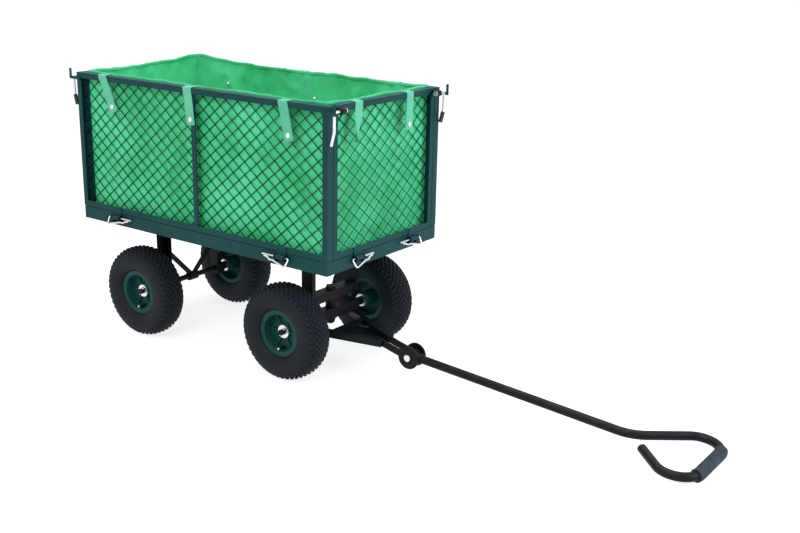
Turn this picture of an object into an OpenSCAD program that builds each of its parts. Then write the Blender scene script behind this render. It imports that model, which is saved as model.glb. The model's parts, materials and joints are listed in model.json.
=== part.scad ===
// Garden cart: a mesh box with four fold-down panels and a fabric liner, on a fixed rear
// axle and a steered front axle that a long pull handle turns.
// +X points forward to the handle, +Y to the left and +Z up. The origin is on the ground,
// midway between the foremost and rearmost points.

/* [Box] */
// Outside length of the box
box_l = 900; // [740:10:1200]
// Outside width of the box
box_w = 470; // [380:5:600]
// Height of a mesh panel
panel_h = 380; // [280:5:480]
// Face width of the panels' angle iron
frame_face = 16; // [12:1:28]
// Depth of the panels' angle iron
frame_depth = 22; // [18:1:28]
// Wall of the panels' angle iron
frame_t = 2.5; // [2:0.5:4]
// Gap between panels, and between a panel and the tray
panel_gap = 1.5; // [1:0.5:3]
// Height of one mesh diamond
mesh_pitch_h = 35; // [25:1:50]
// Length of one mesh diamond
mesh_pitch_l = 40; // [25:1:50]
// Width of the mesh strands
mesh_wire = 2.5; // [2:0.5:4]

/* [Tray] */
// Height of the tray's underside above the ground
tray_z = 325; // [310:5:380]
// Height of the tray's rim
rim_h = 35; // [30:1:50]
// Wall of the tray's rim
rim_t = 2.5; // [2:0.5:4]
// Width of the flange along the rim's lower edge
rim_flange = 30; // [24:1:40]
// Width of a deck bearer
bearer_w = 50; // [46:1:60]
// Height of a deck bearer
bearer_h = 14; // [10:1:16]
// Length and height of a deck mesh diamond
deck_pitch = 60; // [40:5:80]

/* [Liner] */
// Wall of the fabric liner
liner_t = 3; // [2:0.5:5]
// Gap between the liner and the panels
liner_gap = 1.5; // [1:0.5:4]
// Radius of the liner's upright corners
liner_r = 15; // [10:1:50]
// How far the liner's hem stands above the panels
liner_rise = 4; // [0:1:10]
// Width of a strap
strap_w = 30; // [20:1:40]
// Thickness of a strap
strap_t = 1.8; // [1:0.2:3]
// How far a strap hangs down outside the panel
strap_drop = 112; // [60:2:140]
// Distance from the side panels' middle to their outer straps
strap_side_x = 322; // [250:1:360]
// Distance from the end panels' middle to their straps
strap_end_y = 105; // [60:1:130]

/* [Wheels] */
// Outer radius of a tyre
wheel_r = 130; // [115:1:145]
// Width of a tyre
tyre_w = 85; // [60:1:90]
// Distance between the middle planes of the two wheels on an axle
track = 369; // [360:1:420]
// Radius of the rim's edge
rim_r = 63; // [55:1:70]
// Width of the rim
rim_w = 56; // [50:1:60]
// How far the hub is set in from the rim's middle, towards the cart
hub_shift = 20; // [0:1:20]
// Radius of the axle rods
axle_r = 8; // [7:0.5:10]
// Running clearance on a radius
fit = 0.06; // [0.03:0.01:0.1]
// Distance from the box's middle forward to the front axle
front_axle_x = 270; // [220:5:300]
// Distance from the box's middle back to the rear axle
rear_axle_x = 265; // [220:5:320]

/* [Undercarriage] */
// Distance from the middle to a rear leg's inner face
rear_leg_y = 92; // [80:1:100]
// Flange width of a rear leg
rear_leg_w = 30; // [24:1:34]
// Distance from the middle to a front leg's inner face
front_leg_y = 85; // [75:1:95]
// Length of a front leg along the cart
front_leg_l = 38; // [30:1:44]
// Thickness of a front leg across the cart
front_leg_w = 14; // [10:1:18]
// Height of the swivel bolster above the ground
bolster_z = 175; // [170:1:190]
// Height of the swivel bolster's section
bolster_h = 25; // [20:1:30]
// Size of the front axle beam's square section
beam_s = 30; // [26:1:36]
// Radius of the kingpin
kingpin_r = 8; // [6:0.5:10]

/* [Drawbar] */
// Distance from the kingpin forward to the handle's pivot
pivot_reach = 276; // [250:2:320]
// Height of the handle's pivot
pivot_z = 71; // [60:1:90]
// Radius of the fork's round ears
ear_r = 31; // [26:1:36]
// Thickness of a fork ear
ear_t = 5; // [4:0.5:8]
// Gap between the two fork ears
ear_gap = 29; // [28:1:40]
// Section of the drawbar's arms
arm_s = 18; // [14:1:22]
// Radius of the pivot bolt
pivot_r = 6; // [5:0.5:8]

/* [Handle] */
// Distance from the pivot to the middle of the grip
grip_reach = 818; // [700:2:900]
// Radius of the handle tube
tube_r = 11; // [9:0.5:13]
// Wall of the handle tube
tube_t = 2; // [1.5:0.5:3]
// Half the width of the handle's loop, at the tube's middle
loop_half_w = 111; // [90:1:130]
// Bend radius where the loop leaves the shaft
neck_bend_r = 95; // [70:1:110]
// Bend radius of the loop's two corners
loop_bend_r = 52; // [40:1:56]
// Angle between the shaft and the loop's slanted sides
loop_angle = 43; // [38:1:48]
// Length of the loop's open tail
tail_l = 80; // [50:1:90]
// Outer radius of the foam grip
grip_r = 15.5; // [14:0.5:19]
// Angle of each corner bend that the foam grip covers
grip_wrap = 19; // [5:1:30]

/* [Hinge clips] */
// Distance from a panel's face out to its hinge line
hinge_out = 8; // [7:0.5:10]
// Distance from the tray's top edge down to the hinge line
hinge_drop = 10; // [9:0.5:12]
// Radius of the clips' wire
clip_r = 2.25; // [1.75:0.25:2.5]
// Radius of a hinge barrel
barrel_r = 6; // [5:0.5:6.5]
// Length of a hinge barrel
barrel_l = 28; // [20:1:40]
// Distance from the side panels' middle to their hinges
hinge_side_x = 305; // [220:1:320]
// Distance from the end panels' middle to their hinges
hinge_end_y = 118; // [80:1:130]

/* [Corner latches] */
// Distance from an end panel's face out to the lever's axis
latch_out = 17; // [15:1:22]
// Distance from a panel's top down to the lever's axis
latch_drop = 12; // [10:1:16]
// Radius of the lever's rod
lever_r = 3.5; // [3:0.5:4]
// Length of the lever's upright part
lever_l = 38; // [30:1:50]
// Length of the lever's cranked end
lever_end_l = 33; // [26:1:40]
// Angle of the lever's cranked end
lever_crank = 15; // [5:1:18]
// Radius of the lever's sleeve
sleeve_r = 5.5; // [5:0.5:6]

/* [Hidden] */
$fn = 48;
eps = 0.5;

tray_top = tray_z + rim_h;
panel_z = tray_top + panel_gap;
panel_top = panel_z + panel_h;
end_w = box_w - 2 * (frame_depth + panel_gap);
rim_inset = 0.5;
tray_l = box_l - 2 * rim_inset;
tray_w = box_w - 2 * rim_inset;
bearer_z = tray_z + rim_t;
deck_z = bearer_z + bearer_h;
deck_top = deck_z + mesh_wire;
mount_z = bearer_z;

liner_l = box_l - 2 * (frame_depth + liner_gap);
liner_w = box_w - 2 * (frame_depth + liner_gap);
liner_top = panel_top + liner_rise;

axle_z = wheel_r;
hub_y = track / 2;
hub_in = -rim_w / 2 - hub_shift;
hub_out = rim_w / 2 - hub_shift;
collar_l = 10;
washer_t = 2.2;
side_gap = 0.3;
axle_tip = 10;
axle_end = hub_y + hub_out + side_gap + washer_t + axle_tip;
bearing_r = 17.5;

beam_top = axle_z + beam_s / 2 + 2;
beam_bottom = beam_top - beam_s;
beam_half_l = front_leg_y + front_leg_w + 5;
plug = 34;
pivot_x = front_axle_x + pivot_reach;
arm_rear_y = beam_half_l - arm_s / 2 - 2;
arm_front_x = pivot_x - 84;
arm_front_z = pivot_z + 21;
arm_rear_z = beam_bottom - arm_s / 2 - 0.5;
arm_slope = atan((arm_rear_z - arm_front_z) / (arm_front_x - front_axle_x));
arm_run = (arm_front_x - front_axle_x) / cos(arm_slope);
ear_y = ear_gap / 2;
arm_front_y = ear_y + ear_t / 2 + 2;
crossbar_run = 66;
plate_t = 3;

handle_tilt = asin((pivot_z - grip_r) / grip_reach);
neck_tan = neck_bend_r * tan(loop_angle / 2);
corner_x = grip_reach - loop_bend_r;
corner_y = loop_half_w - loop_bend_r;
side_x = corner_x - loop_bend_r * sin(loop_angle);
side_y = corner_y + loop_bend_r * cos(loop_angle);
neck_x = side_x - side_y / tan(loop_angle);
side_run = side_y / sin(loop_angle) - neck_tan;
hub_cyl_r = 20;
shaft_start = hub_cyl_r + 2;
shaft_run = neck_x - neck_tan - shaft_start;
socket_end = shaft_start + 10;

hinge_z = tray_top - hinge_drop;
lug_t = 3;
lug_gap = 0.6;
lug_r = 7;
clip_out = 60;
clip_in = 22;
clip_lean = 32;

latch_z = panel_top - latch_drop;
boss_r = 8;
boss_l = 18;
boss_in = end_w / 2 - boss_l - 1.5;
lever_y = box_w / 2 - lever_r - 0.5;
lever_bend_r = 7;
lever_crank_r = 12;
lever_head_t = 4;
hook_t = 4;
hook_reach = 26;
hook_rise = 9;

front_end = pivot_x + grip_reach * cos(handle_tilt) + grip_r;
rear_end = -(box_l / 2 + hook_reach);
shift_x = -(front_end + rear_end) / 2;

frame_green = [0.09, 0.25, 0.24];
mesh_green = [0.07, 0.30, 0.20];
liner_green = [0.16, 0.72, 0.42];
strap_green = [0.36, 0.78, 0.58];
rim_green = [0.08, 0.27, 0.22];
satin_black = [0.08, 0.08, 0.09];
tyre_black = [0.10, 0.10, 0.11];
zinc = [0.75, 0.76, 0.78];
foam_grey = [0.20, 0.23, 0.27];

// ---------- helpers ----------

// Cart frame to part frame
module placed() {
    translate([shift_x, 0, 0])
        children();
}

// A piece and its copy on the other side of the cart
module both_sides() {
    children();
    mirror([0, 1, 0])
        children();
}

// A piece and its copy at the other end of the box
module both_ends() {
    children();
    mirror([1, 0, 0])
        children();
}

// Cylinder from y0 to y1 about an axis along Y
module rod_y(r, y0, y1) {
    translate([0, y0, 0])
        rotate([-90, 0, 0])
            cylinder(h = y1 - y0, r = r);
}

// Round section, hollow where wall is above 0
module round_section(r, wall) {
    difference() {
        circle(r = r);
        if (wall > 0)
            circle(r = r - wall);
    }
}

// Straight run of rod or tube along +X; what follows starts at its end.
// With a radius of 0, runs and bends only lead to what follows.
module run(length, r, wall = 0) {
    if (r > 0)
        rotate([90, 0, 90])
            linear_extrude(length)
                round_section(r, wall);
    translate([length, 0, 0])
        children();
}

// Bend of rod or tube in the XY plane, to the left for a positive angle. Its section lies
// a hair inside the runs' section, so that the two never share a curved face.
module bend(angle, bend_r, r, wall = 0) {
    hair = 0.02;
    turn = abs(angle);
    side = sign(angle);
    if (r > 0)
        translate([0, side * bend_r, 0])
            rotate([0, 0, side > 0 ? -90 : 90 - turn])
                rotate_extrude(angle = turn)
                    translate([bend_r, 0])
                        round_section(r - hair, wall - 2 * hair);
    translate([0, side * bend_r, 0])
        rotate([0, 0, angle])
            translate([0, -side * bend_r, 0])
                children();
}

// Sheet of diamond mesh in the XZ plane, l by h, centred in x and standing on z = 0
module diamond_mesh(l, h, pitch_l, pitch_h, border) {
    nx = round((l - 2 * border) / pitch_l);
    nz = round((h - 2 * border) / pitch_h);
    ax = (l - 2 * border) / nx / 2;
    az = (h - 2 * border) / nz / 2;
    k = 1 - mesh_wire / 2 * sqrt(ax * ax + az * az) / (ax * az);
    sx = k * ax;
    sz = k * az;
    inside = [for (i = [1:2 * nx - 1]) for (j = [1:2 * nz - 1]) if ((i + j) % 2 == 1) [i * ax, j * az]];
    left = [for (j = [1:2:2 * nz - 1]) [0, j * az]];
    low = [for (i = [1:2:2 * nx - 1]) [i * ax, 0]];
    far_x = 2 * nx * ax;
    far_z = 2 * nz * az;
    openings = concat(
        [for (p = inside) [p + [-sx, 0], p + [0, sz], p + [sx, 0], p + [0, -sz]]],
        [for (p = left) [p + [0, -sz], p + [sx, 0], p + [0, sz]]],
        [for (p = left) [[far_x, p[1] - sz], [far_x, p[1] + sz], [far_x - sx, p[1]]]],
        [for (p = low) [p + [-sx, 0], p + [0, sz], p + [sx, 0]]],
        [for (p = low) [[p[0] - sx, far_z], [p[0] + sx, far_z], [p[0], far_z - sz]]]
    );
    translate([-l / 2 + border, mesh_wire, border])
        rotate([90, 0, 0])
            linear_extrude(mesh_wire)
                difference() {
                    translate([-border, -border])
                        square([l, h]);
                    for (o = openings)
                        polygon(o);
                }
}

// Box with rounded upright corners, centred in x and y and standing on z = 0
module rounded_box(l, w, h, r) {
    linear_extrude(h)
        union() {
            square([l - 2 * r, w], center = true);
            square([l, w - 2 * r], center = true);
            for (x = [-1, 1], y = [-1, 1])
                translate([x * (l / 2 - r), y * (w / 2 - r)])
                    circle(r = r);
        }
}

// ---------- tray and deck ----------

module tray_frame() {
    color(frame_green)
        placed()
            difference() {
                translate([-tray_l / 2, -tray_w / 2, tray_z])
                    cube([tray_l, tray_w, rim_h]);
                translate([-tray_l / 2 + rim_t, -tray_w / 2 + rim_t, tray_z + rim_t])
                    cube([tray_l - 2 * rim_t, tray_w - 2 * rim_t, rim_h]);
                translate([-tray_l / 2 + rim_flange, -tray_w / 2 + rim_flange, tray_z - eps])
                    cube([tray_l - 2 * rim_flange, tray_w - 2 * rim_flange, rim_h]);
            }
}

// Bearers carry the deck, and the legs are bolted up to two of them
module deck_bearers() {
    span = tray_w - 2 * rim_t;
    end_x = tray_l / 2 - rim_flange - bearer_w / 2;
    color(frame_green)
        placed()
            for (x = [-end_x, -rear_axle_x, 0, front_axle_x, end_x])
                translate([x - bearer_w / 2, -span / 2, bearer_z])
                    difference() {
                        cube([bearer_w, span, bearer_h]);
                        translate([rim_t, -eps, rim_t])
                            cube([bearer_w - 2 * rim_t, span + 2 * eps, bearer_h]);
                    }
}

module deck_mesh() {
    l = tray_l - 2 * rim_t;
    w = tray_w - 2 * rim_t;
    color(mesh_green)
        placed()
            translate([0, w / 2, deck_z])
                rotate([90, 0, 0])
                    diamond_mesh(l, w, deck_pitch, deck_pitch, 6);
}

module liner() {
    floor_z = deck_top;
    color(liner_green)
        placed()
            translate([0, 0, floor_z])
                difference() {
                    rounded_box(liner_l, liner_w, liner_top - floor_z, liner_r);
                    translate([0, 0, liner_t])
                        rounded_box(liner_l - 2 * liner_t, liner_w - 2 * liner_t, liner_top,
                            liner_r - liner_t);
                }
}

// ---------- hinges ----------

// Hinge line of a panel along +X, from the panel frame's own origin
module at_hinge() {
    translate([0, -hinge_out, hinge_z - panel_z])
        children();
}

// Bracket on the tray's rim: two drilled lugs on a back strip
module hinge_bracket() {
    lug_x = barrel_l / 2 + lug_gap;
    foot = 14;
    face = hinge_out + rim_inset;
    at_hinge()
        difference() {
            union() {
                for (x = [-lug_x - lug_t, lug_x]) {
                    translate([x, 0, 0])
                        rotate([90, 0, 90])
                            cylinder(h = lug_t, r = lug_r);
                    translate([x, 0, -foot])
                        cube([lug_t, face, foot + 4]);
                }
                translate([-lug_x - lug_t, face - lug_t, -foot])
                    cube([2 * (lug_x + lug_t), lug_t, foot - lug_r - 1]);
            }
            translate([-lug_x - lug_t - eps, 0, 0])
                rotate([90, 0, 90])
                    cylinder(h = 2 * (lug_x + lug_t + eps), r = clip_r + fit);
        }
}

// Barrel and plate on a panel's lower rail, between the bracket's lugs
module hinge_tab() {
    difference() {
        union() {
            at_hinge()
                translate([-barrel_l / 2, 0, 0])
                    rotate([90, 0, 90])
                        cylinder(h = barrel_l, r = barrel_r);
            translate([-barrel_l / 2, -3, hinge_z - panel_z])
                cube([barrel_l, 3, frame_face + panel_z - hinge_z]);
        }
        at_hinge()
            translate([-barrel_l / 2 - eps, 0, 0])
                rotate([90, 0, 90])
                    cylinder(h = barrel_l + 2 * eps, r = clip_r + fit);
    }
}

// Hairpin clip: a straight leg through the hinge and a wavy leg that springs back to it
module hairpin_clip() {
    at_hinge()
        rotate([90 - clip_lean, 0, 0])
            translate([-clip_out, 0, 0])
                run(clip_out + clip_in, clip_r)
                    bend(-100, 5, clip_r)
                        run(12, clip_r)
                            bend(-95, 5, clip_r)
                                run(40, clip_r)
                                    bend(20, 8, clip_r)
                                        run(5, clip_r)
                                            bend(-32, 9, clip_r)
                                                run(11, clip_r)
                                                    bend(26, 8, clip_r)
                                                        run(6, clip_r);
}

// Puts a right-side panel piece at its place on the side of the box
module on_side() {
    translate([0, -box_w / 2, panel_z])
        children();
}

// Puts a panel piece at its place on the front end of the box
module on_end() {
    translate([box_l / 2, 0, panel_z])
        rotate([0, 0, 90])
            children();
}

// The four hinges of the two sides and the four of the two ends
module at_all_hinges() {
    both_sides()
        both_ends()
            on_side()
                translate([hinge_side_x, 0, 0])
                    children();
    both_ends()
        both_sides()
            on_end()
                translate([hinge_end_y, 0, 0])
                    children();
}

module hinge_brackets() {
    color(satin_black)
        placed()
            at_all_hinges()
                hinge_bracket();
}

module hinge_clips() {
    color(zinc)
        placed()
            at_all_hinges()
                hairpin_clip();
}

// ---------- panels ----------

// Welded angle-iron frame with its hinge tabs; outer face on y = 0, bottom on z = 0
module panel_frame(l, hinge_x) {
    difference() {
        translate([-l / 2, 0, 0])
            cube([l, frame_depth, panel_h]);
        translate([-l / 2 + frame_t, frame_t, frame_t])
            cube([l - 2 * frame_t, frame_depth, panel_h - 2 * frame_t]);
        translate([-l / 2 + frame_face, -eps, frame_face])
            cube([l - 2 * frame_face, frame_depth, panel_h - 2 * frame_face]);
    }
    for (x = [-hinge_x, hinge_x])
        translate([x, 0, 0])
            hinge_tab();
}

// Mesh sheet welded inside the frame's flanges
module panel_mesh(l) {
    translate([0, frame_depth - mesh_wire, frame_t])
        diamond_mesh(l - 2 * frame_t, panel_h - 2 * frame_t, mesh_pitch_l, mesh_pitch_h, 3);
}

// Upright in the middle of a side panel
module panel_post() {
    depth = frame_depth - frame_t - mesh_wire;
    translate([-frame_face / 2, frame_t, frame_t])
        difference() {
            cube([frame_face, depth, panel_h - 2 * frame_t]);
            translate([frame_t, frame_t, -eps])
                cube([frame_face, depth, panel_h]);
        }
}

// Strap over the top rail: flat on the rail, then down the outer face
module strap(x) {
    clear = 0.2;
    translate([x - strap_w / 2, -strap_t - clear, panel_h - strap_drop])
        cube([strap_w, strap_t, strap_drop + clear + strap_t]);
    translate([x - strap_w / 2, -strap_t - clear, panel_h + clear])
        cube([strap_w, frame_depth + strap_t + clear, strap_t]);
}

// Upright hook of flat bar, welded to the outer face of a side panel's end post
module corner_hook() {
    translate([box_l / 2 - frame_face, -hook_t, panel_h - latch_drop - boss_r]) {
        cube([frame_face + hook_reach, hook_t, boss_r]);
        translate([frame_face + hook_reach - 6, 0, 0])
            cube([6, hook_t, latch_drop + boss_r + hook_rise]);
    }
}

module right_panel_frame() {
    color(frame_green)
        placed()
            on_side()
                panel_frame(box_l, hinge_side_x);
}

module right_panel_hooks() {
    color(frame_green)
        placed()
            on_side()
                both_ends()
                    corner_hook();
}

module right_panel_mesh() {
    color(mesh_green)
        placed()
            on_side()
                panel_mesh(box_l);
}

module right_panel_post() {
    color(frame_green)
        placed()
            on_side()
                panel_post();
}

module right_straps() {
    color(strap_green)
        placed()
            on_side()
                for (x = [-strap_side_x, 0, strap_side_x])
                    strap(x);
}

module left_panel_frame() {
    mirror([0, 1, 0])
        right_panel_frame();
}

module left_panel_hooks() {
    mirror([0, 1, 0])
        right_panel_hooks();
}

module left_panel_mesh() {
    mirror([0, 1, 0])
        right_panel_mesh();
}

module left_panel_post() {
    mirror([0, 1, 0])
        right_panel_post();
}

module left_straps() {
    mirror([0, 1, 0])
        right_straps();
}

module end_panel_frame() {
    color(frame_green)
        on_end()
            panel_frame(end_w, hinge_end_y);
}

module end_panel_mesh() {
    color(mesh_green)
        on_end()
            panel_mesh(end_w);
}

module end_straps() {
    color(strap_green)
        on_end()
            for (x = [-strap_end_y, strap_end_y])
                strap(x);
}

module front_panel_frame() {
    placed()
        end_panel_frame();
}

module front_panel_mesh() {
    placed()
        end_panel_mesh();
}

module front_straps() {
    placed()
        end_straps();
}

module rear_panel_frame() {
    placed()
        mirror([1, 0, 0])
            end_panel_frame();
}

module rear_panel_mesh() {
    placed()
        mirror([1, 0, 0])
            end_panel_mesh();
}

module rear_straps() {
    placed()
        mirror([1, 0, 0])
            end_straps();
}

// ---------- corner latches ----------

// The front right lever's axis
module at_latch() {
    translate([box_l / 2 + latch_out, 0, latch_z])
        children();
}

// Drilled boss on a bracket that is welded to the end panel's post
module latch_boss() {
    at_latch()
        difference() {
            union() {
                rod_y(boss_r, boss_in, boss_in + boss_l);
                translate([-latch_out, boss_in + 3, -boss_r + 2])
                    cube([latch_out, boss_l - 6, 2 * boss_r - 4]);
            }
            rod_y(lever_r + fit, boss_in - eps, boss_in + boss_l + eps);
        }
}

module end_latch_bosses() {
    color(satin_black)
        both_sides()
            latch_boss();
}

module front_latch_bosses() {
    placed()
        end_latch_bosses();
}

module rear_latch_bosses() {
    placed()
        mirror([1, 0, 0])
            end_latch_bosses();
}

// The lever's path: out through the boss, down, and cranked in towards the box
module lever_path(r) {
    start = boss_in - side_gap - lever_head_t;
    at_latch()
        translate([0, start, 0])
            rotate([90, 0, 90])
                run(lever_y - lever_bend_r - start, r)
                    bend(-90, lever_bend_r, r)
                        run(lever_l, r)
                            rotate([90, 0, 0])
                                bend(-lever_crank, lever_crank_r, r)
                                    children();
}

module latch_lever() {
    color(zinc) {
        lever_path(lever_r)
            run(lever_end_l, lever_r);
        at_latch()
            rod_y(lever_r + 3, boss_in - side_gap - lever_head_t, boss_in - side_gap);
    }
}

// Plastic sleeve over the cranked end
module latch_sleeve() {
    bare = 4;
    color(satin_black)
        lever_path(0)
            translate([bare, 0, 0])
                run(lever_end_l - bare, sleeve_r, sleeve_r - lever_r);
}

module latch_lever_front_left() {
    placed()
        latch_lever();
}

module latch_lever_front_right() {
    mirror([0, 1, 0])
        latch_lever_front_left();
}

module latch_lever_rear_left() {
    placed()
        mirror([1, 0, 0])
            latch_lever();
}

module latch_lever_rear_right() {
    mirror([0, 1, 0])
        latch_lever_rear_left();
}

module latch_sleeve_front_left() {
    placed()
        latch_sleeve();
}

module latch_sleeve_rear_left() {
    placed()
        mirror([1, 0, 0])
            latch_sleeve();
}

module latch_sleeve_rear_right() {
    mirror([0, 1, 0])
        latch_sleeve_rear_left();
}

// ---------- rear undercarriage ----------

// Angle-iron leg that stands on a drilled foot around the rear axle
module rear_leg() {
    foot = rear_leg_w;
    translate([-rear_axle_x, 0, 0])
        difference() {
            union() {
                translate([-foot / 2, rear_leg_y, axle_z - foot / 2])
                    cube([foot, foot, foot]);
                translate([-foot / 2, rear_leg_y, axle_z])
                    cube([foot, 3, mount_z - axle_z]);
                translate([-foot / 2, rear_leg_y, axle_z])
                    cube([3, foot, mount_z - axle_z]);
            }
            translate([0, 0, axle_z])
                rod_y(axle_r + fit, rear_leg_y - eps, rear_leg_y + foot + eps);
        }
}

module rear_legs() {
    color(satin_black)
        placed()
            both_sides()
                rear_leg();
}

// Two flat bars in a V from the middle of the axle up to the legs
module rear_brace() {
    rise = 92;
    bar_w = 14;
    bar_t = 6;
    saddle_r = axle_r + 5;
    slope = atan(rise / rear_leg_y);
    color(satin_black)
        placed()
            translate([-rear_axle_x, 0, axle_z])
                difference() {
                    union() {
                        rod_y(saddle_r, -16, 16);
                        intersection() {
                            both_sides()
                                rotate([slope, 0, 0])
                                    translate([-bar_t / 2, 0, -bar_w / 2])
                                        cube([bar_t, 2 * rear_leg_y, bar_w]);
                            translate([-bar_t, -rear_leg_y, -bar_w])
                                cube([2 * bar_t, 2 * rear_leg_y, rise + 3 * bar_w]);
                        }
                    }
                    rod_y(axle_r + fit, -rear_leg_y, rear_leg_y);
                }
}

// Shoulder collar that keeps a wheel off the frame, at the wheel's inner side
module axle_collar() {
    rod_y(axle_r + 4, hub_y + hub_in - side_gap - collar_l, hub_y + hub_in - side_gap);
}

// Cross hole for a cotter pin, through the axle's outer end
module cotter_hole() {
    translate([0, axle_end - axle_tip / 2, 0])
        rotate([0, 35, 0])
            cylinder(h = 4 * axle_r, r = 1.6, center = true);
}

module rear_axle() {
    color(satin_black)
        placed()
            translate([-rear_axle_x, 0, axle_z])
                difference() {
                    union() {
                        rod_y(axle_r, -axle_end, axle_end);
                        both_sides()
                            axle_collar();
                    }
                    both_sides()
                        cotter_hole();
                }
}

// Outer washer and cotter pin on each end of an axle
module wheel_fasteners(x) {
    y0 = hub_y + hub_out + side_gap;
    pin_r = 1.5;
    pin_out = axle_r + 5;
    color(zinc)
        placed()
            translate([x, 0, axle_z])
                both_sides() {
                    difference() {
                        rod_y(bearing_r, y0, y0 + washer_t);
                        rod_y(axle_r + fit, y0 - eps, y0 + washer_t + eps);
                    }
                    translate([0, axle_end - axle_tip / 2, 0])
                        rotate([0, 35, 0]) {
                            cylinder(h = 2 * pin_out, r = pin_r, center = true);
                            translate([0, 0, pin_out - 1])
                                cylinder(h = 3, r = 2 * pin_r);
                        }
                }
}

module rear_wheel_fasteners() {
    wheel_fasteners(-rear_axle_x);
}

// ---------- front undercarriage ----------

// Rectangular tube legs, bolted to a bearer and welded to the bolster
module front_legs() {
    wall = 2.5;
    color(satin_black)
        placed()
            both_sides()
                translate([front_axle_x - front_leg_l / 2, front_leg_y, bolster_z])
                    difference() {
                        cube([front_leg_l, front_leg_w, mount_z - bolster_z]);
                        translate([wall, wall, -eps])
                            cube([front_leg_l - 2 * wall, front_leg_w - 2 * wall, mount_z]);
                    }
}

// Cross tube between the legs, sleeved for the kingpin
module bolster() {
    wall = 3;
    depth = front_leg_l - 4;
    color(satin_black)
        placed()
            translate([front_axle_x, 0, bolster_z])
                difference() {
                    union() {
                        difference() {
                            translate([-depth / 2, -front_leg_y, 0])
                                cube([depth, 2 * front_leg_y, bolster_h]);
                            translate([-depth / 2 + wall, -front_leg_y - eps, wall])
                                cube([depth - 2 * wall, 2 * front_leg_y + 2 * eps, bolster_h - 2 * wall]);
                        }
                        cylinder(h = bolster_h, r = kingpin_r + 4);
                    }
                    translate([0, 0, -eps])
                        cylinder(h = bolster_h + 2 * eps, r = kingpin_r + fit);
                }
}

// Bolt the front axle turns on, and its flanged nut
module kingpin() {
    color(satin_black)
        placed()
            translate([front_axle_x, 0, 0]) {
                translate([0, 0, beam_bottom - 16])
                    cylinder(h = bolster_z + bolster_h - beam_bottom + 16, r = kingpin_r);
                translate([0, 0, bolster_z + bolster_h])
                    cylinder(h = 9, r = kingpin_r * 1.7, $fn = 6);
                translate([0, 0, beam_bottom - 12])
                    difference() {
                        union() {
                            cylinder(h = 9, r = kingpin_r * 1.7, $fn = 6);
                            translate([0, 0, 9])
                                cylinder(h = 3 - side_gap, r = kingpin_r * 1.9);
                        }
                        translate([0, 0, -eps])
                            cylinder(h = 14, r = kingpin_r + fit);
                    }
            }
}

// Thrust collar on the kingpin, between the bolster and the front axle beam
module swivel_collar() {
    color(satin_black)
        placed()
            translate([front_axle_x, 0, beam_top + side_gap])
                difference() {
                    cylinder(h = bolster_z - beam_top - side_gap, r = kingpin_r + 6);
                    translate([0, 0, -eps])
                        cylinder(h = bolster_z, r = kingpin_r + fit);
                }
}

// Square tube with a kingpin sleeve, and plugs at its ends that hold the stub axles
module front_axle_beam() {
    wall = 3;
    color(satin_black)
        placed()
            translate([front_axle_x, 0, 0])
                difference() {
                    translate([-beam_s / 2, -beam_half_l, beam_bottom])
                        cube([beam_s, 2 * beam_half_l, beam_s]);
                    both_sides()
                        translate([-beam_s / 2 + wall, kingpin_r + 4, beam_bottom + wall])
                            cube([beam_s - 2 * wall, beam_half_l - plug - kingpin_r - 4, beam_s - 2 * wall]);
                    translate([0, 0, beam_bottom - eps])
                        cylinder(h = beam_s + 2 * eps, r = kingpin_r + fit);
                    translate([0, 0, axle_z])
                        both_sides()
                            rod_y(axle_r + fit, beam_half_l - plug - eps, beam_half_l + eps);
                }
}

module front_axle_stubs() {
    color(satin_black)
        placed()
            translate([front_axle_x, 0, axle_z])
                both_sides()
                    difference() {
                        union() {
                            rod_y(axle_r, beam_half_l - plug, axle_end);
                            axle_collar();
                        }
                        cotter_hole();
                    }
}

module front_wheel_fasteners() {
    wheel_fasteners(front_axle_x);
}

// ---------- drawbar ----------

// Frame of the drawbar's sloping plane: x runs forward from the axle, z is square to it
module drawbar_plane() {
    translate([front_axle_x, 0, arm_rear_z])
        rotate([0, arm_slope, 0])
            children();
}

// Half-width between the arms' middle lines at a distance x along the drawbar
function arm_y(x) = arm_rear_y + (arm_front_y - arm_rear_y) * x / arm_run;

// One fork ear with its strap, in the XZ plane
module fork_ear() {
    strap_x = pivot_x - arm_front_x + 24;
    strap_slope = atan((arm_front_z - pivot_z) / (pivot_x - arm_front_x));
    translate([pivot_x, ear_y, pivot_z])
        rotate([90, 0, 0])
            translate([0, 0, -ear_t])
                linear_extrude(ear_t)
                    difference() {
                        union() {
                            circle(r = ear_r);
                            rotate(180 - strap_slope)
                                translate([0, -arm_s / 2])
                                    square([strap_x, arm_s]);
                        }
                        circle(r = pivot_r + fit);
                    }
}

module drawbar() {
    yaw = atan((arm_rear_y - arm_front_y) / arm_run);
    color(satin_black)
        placed() {
            drawbar_plane() {
                both_sides()
                    translate([0, arm_rear_y, 0])
                        rotate([0, 0, -yaw])
                            translate([0, -arm_s / 2, -arm_s / 2])
                                cube([arm_run / cos(yaw), arm_s, arm_s]);
                translate([crossbar_run - arm_s / 2, -arm_y(crossbar_run), -arm_s / 2])
                    cube([arm_s, 2 * arm_y(crossbar_run), arm_s]);
            }
            both_sides() {
                fork_ear();
                translate([front_axle_x - beam_s / 2, arm_rear_y - arm_s / 2, beam_bottom - arm_s])
                    cube([beam_s, arm_s, arm_s]);
            }
        }
}

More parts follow.
